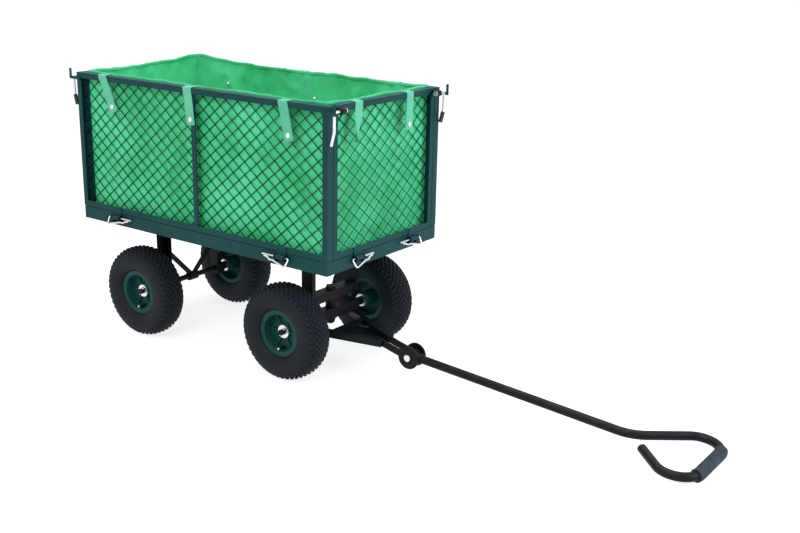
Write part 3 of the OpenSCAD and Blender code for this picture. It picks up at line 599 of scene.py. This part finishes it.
def ring_point(s, length, width, radius):
    """Point and outward direction at the share s of a rounded rectangle's outline."""
    radius = min(radius, length / 2, width / 2)
    a, b = length - 2 * radius, width - 2 * radius
    arc = math.pi * radius / 2
    d = (s % 1.0) * (2 * (a + b) + 4 * arc)
    corners = ((1, 1), (-1, 1), (-1, -1), (1, -1))
    for quarter, run in enumerate((b, a, b, a)):
        base = (0, 90, 180, 270)[quarter]
        if d < run:
            t = math.radians(base)
            out = Vector((math.cos(t), math.sin(t)))
            along = Vector((-out.y, out.x))
            centre = out * ((length if quarter % 2 == 0 else width) / 2)
            return centre + along * (d - run / 2), out
        d -= run
        if d < arc or quarter == 3:
            t = math.radians(base) + min(d, arc) / max(radius, 1e-9)
            sx, sy = corners[quarter]
            out = Vector((math.cos(t), math.sin(t)))
            return Vector((sx * a / 2, sy * b / 2)) + out * radius, out
        d -= arc


def ring_shares(length, width, radius):
    """Shares of a rounded rectangle's outline at about one cell apart, with two steps at each corner."""
    arc = math.pi * radius / 2
    places, at = [], 0.0
    for run in (width - 2 * radius, length - 2 * radius) * 2:
        cells = round(run / LINER_CELL)
        places += [at + run * k / cells for k in range(cells)]
        at += run
        places += [at, at + arc / 2]
        at += arc
    return [p / at for p in places]


def liner_grid():
    """Rings of the open bag, from the hem down the walls and in across the floor, in millimetres."""
    length, width = LINER_L + 2 * CLOTH_OUT, LINER_W + 2 * CLOTH_OUT
    floor = LINER_FLOOR + CLOTH_T
    shares = ring_shares(length, width, LINER_R)
    around = len(shares)
    depth = LINER_TOP - floor
    rows = int(depth / LINER_CELL)
    rings = []
    for i in range(rows + 1):
        z = LINER_TOP - depth * i / rows
        rings.append([(*ring_point(s, length, width, LINER_R)[0], z) for s in shares])
    steps = int(width / 2 / LINER_CELL)
    for i in range(1, steps + 1):
        inset = (width / 2 - 1) * i / steps
        radius = max(LINER_R * (1 - i / steps), 0.5)
        rings.append(
            [
                (*ring_point(s, length - 2 * inset, width - 2 * inset, radius)[0], floor)
                for s in shares
            ]
        )
    return rings, rows, around


def hem_lift(p):
    """How far the hem stands above the liner's nominal top, in millimetres: it is pulled down
    at its straps, and the spare cloth peaks at the rear left corner."""
    x, y = p[0], p[1]
    if abs(x) > LINER_L / 2 - 2 * CLOTH_T:
        tops = STRAPS_FRONT if x > 0 else STRAPS_REAR
        near = min(abs(y - s[0]) for s in tops)
    else:
        near = min(abs(x - s[0]) for s in STRAPS_SIDE)
    slack = min(near / HEM_PULL_REACH, 1.0)
    wave = noise.noise(Vector((x * 0.013, y * 0.013, 3.1)))
    ripple = noise.noise(Vector((x * 0.045, y * 0.045, 8.7)))
    from_peak = abs(x + LINER_L / 2) + abs(y - LINER_W / 2)
    peak = HEM_PEAK * math.exp(-((from_peak / HEM_PEAK_REACH) ** 2))
    return -2.0 * (1 - slack) + slack * (1.0 + 4.0 * wave + 2.2 * ripple) + peak


def make_liner():
    """The bag: hung from its hem, let go under gravity, then kept inside the panels."""
    rings, rows, around = liner_grid()
    verts = [Vector(p) for ring in rings for p in ring]
    faces = []
    for i in range(len(rings) - 1):
        for k in range(around):
            m = (k + 1) % around
            a, b = i * around, (i + 1) * around
            faces.append((a + k, b + k, b + m, a + m))
    last = (len(rings) - 1) * around
    half = around // 2
    wall_count = (rows + 1) * around
    for v in verts[:wall_count]:
        share = (LINER_TOP - v.z) / (LINER_TOP - LINER_FLOOR)
        v.z += hem_lift(v) * (1 - share) ** 2
    mesh = mesh_of("liner_bag", [v * mm for v in verts], faces)
    bag = bpy.data.objects.new("liner_bag", mesh)
    scene.collection.objects.link(bag)
    rest = np.array([v.co for v in mesh.vertices])
    inward = inward_of(rest)
    settle(bag, rest, rows, around)
    co = np.array([v.co for v in bag.data.vertices])
    co = shape_folds(co, rest, inward, rows, around)
    for v, p in zip(bag.data.vertices, co, strict=True):
        v.co = p
    bm = bmesh.new()
    bm.from_mesh(bag.data)
    bm.verts.ensure_lookup_table()
    closing = [bm.verts[last + k] for k in range(around)]
    for k in range(half - 1):
        a, b, c, d = closing[k], closing[k + 1], closing[around - 2 - k], closing[around - 1 - k]
        if len({a, b, c, d}) == 4:
            bm.faces.new((a, b, c, d))
    bmesh.ops.remove_doubles(bm, verts=closing, dist=0.0004)
    bm.to_mesh(bag.data)
    bm.free()
    bag.data.transform(Matrix.Translation((CX, 0, 0)))
    top_ring = [Vector(co[k]) + Vector((CX, 0, 0)) for k in range(around)]
    corner_lines = [
        [Vector(co[i * around + k]) + Vector((CX, 0, 0)) for i in range(rows)] for k in corners_of(rings[0])
    ]
    subdivide = bag.modifiers.new("smooth", "SUBSURF")
    subdivide.levels = subdivide.render_levels = 1
    thick = bag.modifiers.new("thick", "SOLIDIFY")
    thick.thickness = CLOTH_T * mm
    thick.offset = 0
    apply_modifiers(bag)
    outward(bag.data)
    bag.data.shade_smooth()
    bag.data.materials.clear()
    bag.data.materials.append(LINER)
    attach(bag, "chassis")
    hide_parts("liner")
    hem = make_hem(top_ring)
    seams = make_seams(corner_lines)
    make_wall_studs([Vector(p) + Vector((CX, 0, 0)) for p in co[:wall_count]])


def corners_of(ring):
    """Index of the point nearest each corner of the top ring."""
    found = []
    for sx in (1, -1):
        for sy in (1, -1):
            score = [p[0] * sx + p[1] * sy for p in ring]
            found.append(score.index(max(score)))
    return found


def inward_of(rest):
    """Unit vectors from each wall point towards the middle of the box, level."""
    half_l, half_w = LINER_L / 2 * mm, LINER_W / 2 * mm
    out = np.zeros_like(rest)
    gap_x = half_l - np.abs(rest[:, 0])
    gap_y = half_w - np.abs(rest[:, 1])
    out[:, 0] = -np.sign(rest[:, 0]) * np.exp(-gap_x / 0.012)
    out[:, 1] = -np.sign(rest[:, 1]) * np.exp(-gap_y / 0.012)
    size = np.maximum(np.linalg.norm(out, axis=1, keepdims=True), 1e-6)
    return out / np.maximum(size, 0.05)


def settle(bag, rest, rows, around):
    """Cloth simulation: the hem hangs from the straps, and slightly loose walls buckle. The move of
    each point is limited, and fades to nothing at the corners."""
    held = bag.vertex_groups.new(name="held")
    ring = rest[:around]
    for k in range(around):
        held.add([k], 0.85 if hem_lift(ring[k] / mm) > -0.6 else 1.0, "REPLACE")
    floor_from = (rows - 1) * around
    held.add(list(range(floor_from, len(rest))), 1.0, "REPLACE")
    cloth = bag.modifiers.new("cloth", "CLOTH")
    cloth.settings.vertex_group_mass = "held"
    cloth.settings.quality = 6
    cloth.settings.mass = 0.2
    cloth.settings.tension_stiffness = 12
    cloth.settings.compression_stiffness = 10
    cloth.settings.bending_stiffness = 0.25
    cloth.settings.shrink_min = cloth.settings.shrink_max = -0.018
    cloth.point_cache.frame_start = 1
    cloth.point_cache.frame_end = SETTLE_FRAMES
    for step in range(1, SETTLE_FRAMES + 1):
        scene.frame_set(step)
    depsgraph = bpy.context.evaluated_depsgraph_get()
    posed = bag.evaluated_get(depsgraph).to_mesh()
    co = np.array([v.co for v in posed.vertices])
    bag.evaluated_get(depsgraph).to_mesh_clear()
    bag.modifiers.clear()
    scene.frame_set(1)
    move = co - rest
    size = np.maximum(np.linalg.norm(move, axis=1, keepdims=True), 1e-9)
    on_end = np.abs(rest[:, 0]) > LINER_L / 2 * mm - 0.02
    along = np.where(on_end, LINER_W, LINER_L) / 2 * mm
    place = np.where(on_end, rest[:, 1], rest[:, 0])
    near_corner = np.clip((along - np.abs(place)) / (SETTLE_FADE * mm), 0.0, 1.0)[:, None]
    co = rest + move / size * np.minimum(size, SETTLE_LIMIT * mm) * near_corner
    for v, p in zip(bag.data.vertices, co, strict=True):
        v.co = p


def shape_folds(co, rest, inward, rows, around):
    """Adds wide folds and slanting creases to the walls and a slight rise and fall to the floor,
    then keeps the cloth inside its space."""
    out = co.copy()
    walls = (rows + 1) * around
    for i in range(walls):
        x, y, z = rest[i] / mm
        down = (LINER_TOP - z) / (LINER_TOP - LINER_FLOOR)
        wide = noise.noise(Vector((x * 0.006, y * 0.006, z * 0.005 + 4.0)))
        fold = noise.noise(Vector(((x + y) * 0.011 + z * 0.012, (x - y) * 0.010, z * 0.007)))
        fold2 = noise.noise(Vector(((x + y) * 0.012 - z * 0.014, (x - y) * 0.012 + 9.0, z * 0.006)))
        fine = noise.noise(Vector((x * 0.04, y * 0.04, z * 0.035)))
        crease = (1 - min(abs(fold) * 5, 1)) ** 2 * 4.5 + (1 - min(abs(fold2) * 5, 1)) ** 2 * 3.0
        fade = math.sin(math.pi * min(max(down, 0.02), 0.98)) ** 0.6
        on_end = abs(x) > LINER_L / 2 - 2 * CLOTH_T
        to_corner = LINER_W / 2 - abs(y) if on_end else LINER_L / 2 - abs(x)
        loose = FOLD_FAR if (x < 0 if on_end else y > 0) else FOLD_NEAR
        loose *= smooth(to_corner / 90.0)
        depth = (2.5 + 12.0 * wide + 2.4 * crease + 1.6 * fine) * fade * loose
        edge = max(0.0, 1 - down * 14) * smooth(to_corner / 40.0)
        depth += edge * (1.5 + 3.0 * noise.noise(Vector((x * 0.03, y * 0.03, 1.7))))
        out[i] += inward[i] * max(depth, 0.0) * mm
    half_l, half_w = (LINER_L / 2 + CLOTH_OUT) * mm, (LINER_W / 2 + CLOTH_OUT) * mm
    r = LINER_R * mm
    for i in range(len(out)):
        x, y = out[i][0], out[i][1]
        cx, cy = max(abs(x) - (half_l - r), 0.0), max(abs(y) - (half_w - r), 0.0)
        d = math.hypot(cx, cy)
        if d > r:
            out[i][0] -= math.copysign(cx * (1 - r / d), x)
            out[i][1] -= math.copysign(cy * (1 - r / d), y)
    floor = (LINER_FLOOR + CLOTH_T) * mm
    for i in range(walls, len(out)):
        x, y = rest[i][0] / mm, rest[i][1] / mm
        lift = 1.5 + 2.5 * noise.noise(Vector((x * 0.012, y * 0.015, 5.5)))
        out[i][2] = floor + max(lift, 0.0) * mm
    out[:, 2] = np.maximum(out[:, 2], floor)
    return out


def band(path, normals, width, thickness, cyclic=False):
    """Flat strip along a path: normals give its face direction, and its width is square to both."""
    verts, faces = [], []
    count = len(path)
    across = (-0.5, -0.25, 0.0, 0.25, 0.5)
    loop = [(u, 1) for u in across] + [(u, -1) for u in reversed(across)]
    for i, p in enumerate(path):
        before = path[i - 1] if i or cyclic else p
        after = path[(i + 1) % count] if i < count - 1 or cyclic else p
        along = (after - before).normalized()
        face = (normals[i] - along * normals[i].dot(along)).normalized()
        side = along.cross(face)
        for u, s in loop:
            edge = 0.55 if abs(u) == 0.5 else 1.0
            verts.append(p + side * (u * width) + face * (s * thickness / 2 * edge))
    size = len(loop)
    for i in range(count if cyclic else count - 1):
        a, b = i * size, (i + 1) % count * size
        for k in range(size):
            m = (k + 1) % size
            faces.append((a + k, b + k, b + m, a + m))
    if not cyclic:
        faces.append(tuple(range(size)))
        last = (count - 1) * size
        faces.append(tuple(range(last + size - 1, last - 1, -1)))
    mesh = mesh_of("band", verts, faces)
    outward(mesh)
    return mesh


def level_out(p):
    """Outward direction of the box's wall at a point."""
    x, y = (p.x - CX) / (LINER_L * mm), p.y / (LINER_W * mm)
    return Vector((math.copysign(abs(x) ** 9, x), math.copysign(abs(y) ** 9, y), 0)).normalized()


def stitches(path, step, length, radius):
    """Short raised threads along a path."""
    out, travelled, due = [], 0.0, step / 2
    for i in range(len(path) - 1):
        a, b = path[i], path[i + 1]
        gap = (b - a).length
        while due < travelled + gap:
            d = (b - a) / gap
            p = a + d * (due - travelled)
            out.append([p - d * length / 2, p + d * length / 2])
            due += step
        travelled += gap
    return tubes("stitches", out, radius, 5)


def make_hem(ring):
    """Folded hem round the top of the bag, with one line of stitching."""
    path = [p + Vector((0, 0, -4 * mm)) for p in ring]
    normals = [level_out(p) for p in path]
    strip = band(path, normals, HEM_W * mm, HEM_T * mm, cyclic=True)
    inner = [p - n * 1.9 * mm + Vector((0, 0, -2 * mm)) for p, n in zip(path, normals, strict=True)]
    thread = stitches([*inner, inner[0]], STITCH_STEP * mm, STITCH_L * mm, STITCH_R * mm)
    return new_object("liner_hem", join("liner_hem", [strip, thread]), "liner_fabric", "chassis")


def make_seams(lines):
    """Bound seams that run down the four corners."""
    parts = []
    for line in lines:
        normals = [level_out(p) for p in line]
        path = [p - n * 1.6 * mm for p, n in zip(line, normals, strict=True)]
        parts.append(band(path, normals, SEAM_W * mm, SEAM_T * mm))
    return new_object("liner_seams", join("liner_seams", parts), "liner_fabric", "chassis")


def make_wall_studs(points):
    """Press studs on the inner faces of the long walls, where the straps' loose ends can close."""
    caps = []
    for x, z in WALL_STUDS:
        for side in (1, -1):
            goal = cart(x, side * LINER_W / 2, z)
            at = min(points, key=lambda p, goal=goal: (p - goal).length)
            at = Vector((goal.x, at.y - side * 0.8 * mm, goal.z))
            caps.append(snap_mesh(face_matrix(at, (0, -side, 0))))
    new_object("liner_studs", join("liner_studs", caps), "zinc", "chassis")


# ---------- straps and snaps ----------

PANEL_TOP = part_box("right_panel_frame")[1].z / mm
RAIL_DEPTH = 22.0
BOX_HALF_L = (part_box("front_panel_mesh")[0].x - CX) / mm + RAIL_DEPTH
BOX_HALF_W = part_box("left_panel_mesh")[0].y / mm + RAIL_DEPTH
STRAP_T = 1.5
STRAP_W = 30.0
STRAP_WEB_W = STRAP_W * 0.98
STRAP_END = 645.0
STRAP_STEPS = 16
SNAP_Z = 660
TWIST = 62


def snap_mesh(matrix):
    """Press stud: a domed cap with a rolled rim on a thin washer."""
    profile = [
        (0, 3.1), (2.2, 3.0), (3.6, 2.5), (4.3, 1.8), (4.9, 1.7), (5.6, 2.1), (6.3, 1.9), (6.7, 1.1),
        (6.6, 0.2), (0, 0.0),
    ]
    return moved(lathe("snap", [(r * mm, y * mm) for r, y in profile], 28), matrix)


def face_matrix(at, out):
    """Places +Y of a turned mesh along a direction."""
    return Matrix.Translation(at) @ Vector(out).to_track_quat("Y", "Z").to_matrix().to_4x4()


def make_strap(name, body, frame_of, top, bottom, twist, snap_at):
    """Strap from behind the rail, over it and down outside, slanting as it hangs."""
    rise = STRAP_T / 2 + 0.25
    stations = [
        (-RAIL_DEPTH - 1.2, PANEL_TOP - 9), (-RAIL_DEPTH - 0.9, PANEL_TOP - 3),
        (-RAIL_DEPTH + 0.2, PANEL_TOP + rise * 0.7), (-RAIL_DEPTH + 3, PANEL_TOP + rise),
        (-RAIL_DEPTH / 2, PANEL_TOP + rise + 0.3), (-3, PANEL_TOP + rise),
        (-0.2, PANEL_TOP + rise * 0.7), (rise, PANEL_TOP - 2),
    ]
    for i in range(1, STRAP_STEPS + 1):
        t = i / STRAP_STEPS
        z = PANEL_TOP - 2 - (PANEL_TOP - 2 - STRAP_END) * t
        lift = 0.5 * math.sin(t * 7 + top) + 1.6 * t * t
        stations.append((rise + max(lift, 0) + (3.5 * t if twist else 0), z))
    path, normals = [], []
    for i, (out, z) in enumerate(stations):
        t = min(max((PANEL_TOP - z) / (PANEL_TOP - STRAP_END), 0), 1)
        s = top + (bottom - top) * t
        path.append(frame_of(s, out, z))
        before = stations[max(i - 1, 0)]
        after = stations[min(i + 1, len(stations) - 1)]
        d_out, d_z = after[0] - before[0], after[1] - before[1]
        side = frame_of(1, 0, 0) - frame_of(0, 0, 0)
        run = frame_of(0, d_out, d_z) - frame_of(0, 0, 0)
        normal = run.cross(side).normalized()
        if normal.dot(frame_of(0, 1, 1) - frame_of(0, 0, 0)) < 0:
            normal = -normal
        if twist:
            turn = math.radians(TWIST) * max(0.0, (t - 0.35) / 0.65) ** 1.5
            normal = Matrix.Rotation(-turn, 3, run.normalized()) @ normal
        normals.append(normal)
    strap = new_object(name, band(path, normals, STRAP_WEB_W * mm, STRAP_T * mm), "strap_webbing", body)
    if snap_at:
        s, z = snap_at
        out = frame_of(0, 1, 0) - frame_of(0, 0, 0)
        lift = rise + 1.2 + STRAP_T / 2
        snap = snap_mesh(face_matrix(frame_of(s, lift, z), out))
        new_object(name + "_snap", snap, "zinc", body)
    return strap


def make_straps():
    """Straps of all four panels, in the place of their CAD nodes."""
    frames = {
        "right_panel": lambda s, out, z: cart(s, -BOX_HALF_W - out, z),
        "left_panel": lambda s, out, z: cart(s, BOX_HALF_W + out, z),
        "front_panel": lambda s, out, z: cart(BOX_HALF_L + out, s, z),
        "rear_panel": lambda s, out, z: cart(-BOX_HALF_L - out, s, z),
    }
    for body, tops in (
        ("right_panel", STRAPS_SIDE),
        ("left_panel", STRAPS_SIDE),
        ("front_panel", STRAPS_FRONT),
        ("rear_panel", STRAPS_REAR),
    ):
        for i, (top, bottom, twist) in enumerate(tops):
            name = f"{body[:-6]}_strap_{i + 1}"
            t = (PANEL_TOP - SNAP_Z) / (PANEL_TOP - STRAP_END)
            snap_at = None if twist else (top + (bottom - top) * t, SNAP_Z)
            make_strap(name, body, frames[body], top, bottom, twist, snap_at)
        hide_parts(body[:-6] + "_straps")


# ---------- wheels ----------

WHEEL_R = 130.0
TYRE_HALF_W = 42.5
RIM_EDGE_R = 63.0
TREAD_PITCHES = 46
TREAD_STEPS = 10
LUG_ROW = 8.6
TREAD_DEPTH = 4.6
# Arcs over the outline, from the middle of the tread
LUG_END = 33.5
SHOULDER_AT, SHOULDER_HALF = 41.0, 6.0
TREAD_FADE_FROM, TREAD_FADE_OVER = 42.0, 8.0
TREAD_END = 48.0
WALL_LINES = ((62.0, 0.7, 1.6), (84.0, 0.9, 2.2))  # place, height and width of a ring on the wall

VALVE_AT = (2, 45.5)  # out from the rim's middle, and radius
VALVE_TURN = {"right": 174, "left": 150}


def tyre_outline():
    """Half-outline of the tyre from the middle of the tread to the bead, as (radius, y, arc) in mm."""
    half_h = (WHEEL_R - RIM_EDGE_R + 7) / 2
    mid_r = WHEEL_R - half_h
    n = 0.8
    points, travelled, last = [], 0.0, None
    steps = 220
    for i in range(steps + 1):
        a = math.radians(90 - (90 + 46) * i / steps)
        c, s = math.cos(a), math.sin(a)
        p = (mid_r + half_h * math.copysign(abs(s) ** n, s), TYRE_HALF_W * abs(c) ** n)
        if last:
            travelled += math.dist(p, last)
        last = p
        points.append((p[0], p[1], travelled))
    return points


def block(u, half, soft):
    """1 inside a block whose middle is at a whole number, 0 in the groove."""
    d = abs(u - round(u))
    return smooth((half - d) / soft + 0.5)


def tread_height(pitch, s):
    """0 in the grooves and 1 on the blocks, at a place round the tyre and an arc from its middle."""
    a = abs(s)
    side = 1 if s >= 0 else -1
    row = s / LUG_ROW
    m, n = (2 * pitch + row) / 2, (2 * pitch - row) / 2
    edge = 0.5 - max(abs(m - round(m)), abs(n - round(n)))
    lug = smooth((edge - 0.07) / 0.12) * smooth((LUG_END - a) / 2.4 + 0.5)
    on_shoulder = smooth((SHOULDER_HALF - abs(a - SHOULDER_AT)) / 2.4 + 0.5)
    return max(lug, on_shoulder * block(pitch + 0.25 * side, 0.33, 0.14))


def make_tyre_mesh():
    """Tyre with its blocks pressed out of the outline and rings on its side walls."""
    outline = tyre_outline()
    blocks_end = TREAD_END + 4
    kept, last = [], -10.0
    for r, y, s in outline:
        step = 1.7 if s < blocks_end else 3.4
        if s - last >= step or s == 0:
            kept.append((r, y, s))
            last = s
    kept.append(outline[-1])
    bead = [(RIM_EDGE_R + 1.2, 26.0, 200.0), (RIM_EDGE_R - 3.0, 25.0, 204.0), (54.0, 24.0, 210.0)]
    right = kept + bead
    loop = [(r, -y, -s) for r, y, s in reversed(right)] + [(r, y, s) for r, y, s in right[1:]]
    steps = TREAD_PITCHES * TREAD_STEPS
    verts, faces = [], []
    for r, y, s in loop:
        a = abs(s)
        fade = 1 - smooth((a - TREAD_FADE_FROM) / TREAD_FADE_OVER)
        ring_line = 0.0
        for at, high, wide in WALL_LINES:
            ring_line += high * math.exp(-(((a - at) / wide) ** 2))
        mid = Vector((93.0, 0.0))
        direction = (Vector((r, y)) - mid).normalized() if a < 150 else Vector((0.0, 0.0))
        for k in range(steps):
            t = 2 * math.pi * k / steps
            down = 0.0
            if a < blocks_end:
                down = TREAD_DEPTH * (1 - tread_height(k / TREAD_STEPS, s)) * fade
            shift = direction * (-down - (1 - min(ring_line, 1.0)) * 0.5 * (1 - fade))
            rr, yy = r + shift.x, y + shift.y
            verts.append((rr * math.sin(t) * mm, yy * mm, rr * math.cos(t) * mm))
    rows = len(loop)
    for i in range(rows):
        a, b = i * steps, (i + 1) % rows * steps
        for k in range(steps):
            m = (k + 1) % steps
            faces.append((a + k, b + k, b + m, a + m))
    mesh = mesh_of("tyre", verts, faces)
    outward(mesh)
    return mesh


def valve_mesh():
    """Rubber valve stem with a bright cap, pointing out along +Y."""
    stem = [(0, 0), (3.6, 0), (3.6, 6), (2.9, 8), (2.9, 16), (0, 16)]
    cap = [(0, 15.5), (2.9, 15.5), (3.3, 16.2), (3.3, 23.2), (2.4, 24.6), (0, 24.8)]
    return [lathe(n, [(r * mm, y * mm) for r, y in p], 20) for n, p in (("stem", stem), ("cap", cap))]


def make_wheels():
    """Treaded tyres in the place of the CAD's plain ones, each with a valve."""
    tyre = make_tyre_mesh()
    stem, cap = valve_mesh()
    for end in ("front", "rear"):
        for side in ("right", "left"):
            where = f"{end}_{side}"
            lo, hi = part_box("tyre_" + where)
            centre = (lo + hi) / 2
            flip = Matrix.Rotation(math.pi, 4, "Z") if side == "right" else Matrix.Identity(4)
            place = Matrix.Translation((centre.x, centre.y, centre.z)) @ flip
            body = where + "_wheel"
            obj = new_object("tread_tyre_" + where, moved(tyre, place), "tyre_rubber", body)
            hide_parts("tyre_" + where)
            turn = Matrix.Rotation(math.radians(VALVE_TURN[side]), 4, "Y")
            at = place @ turn @ Matrix.Translation((0, VALVE_AT[0] * mm, VALVE_AT[1] * mm))
            new_object("valve_stem_" + where, moved(stem, at), "tyre_rubber", body)
            new_object("valve_cap_" + where, moved(cap, at), "zinc", body)


# ---------- build ----------

make_camera()
make_light()
make_floor()
dress_cad()
for panel_name in ("right", "left", "front", "rear"):
    make_panel_mesh(panel_name)
make_liner()
make_straps()
make_wheels()
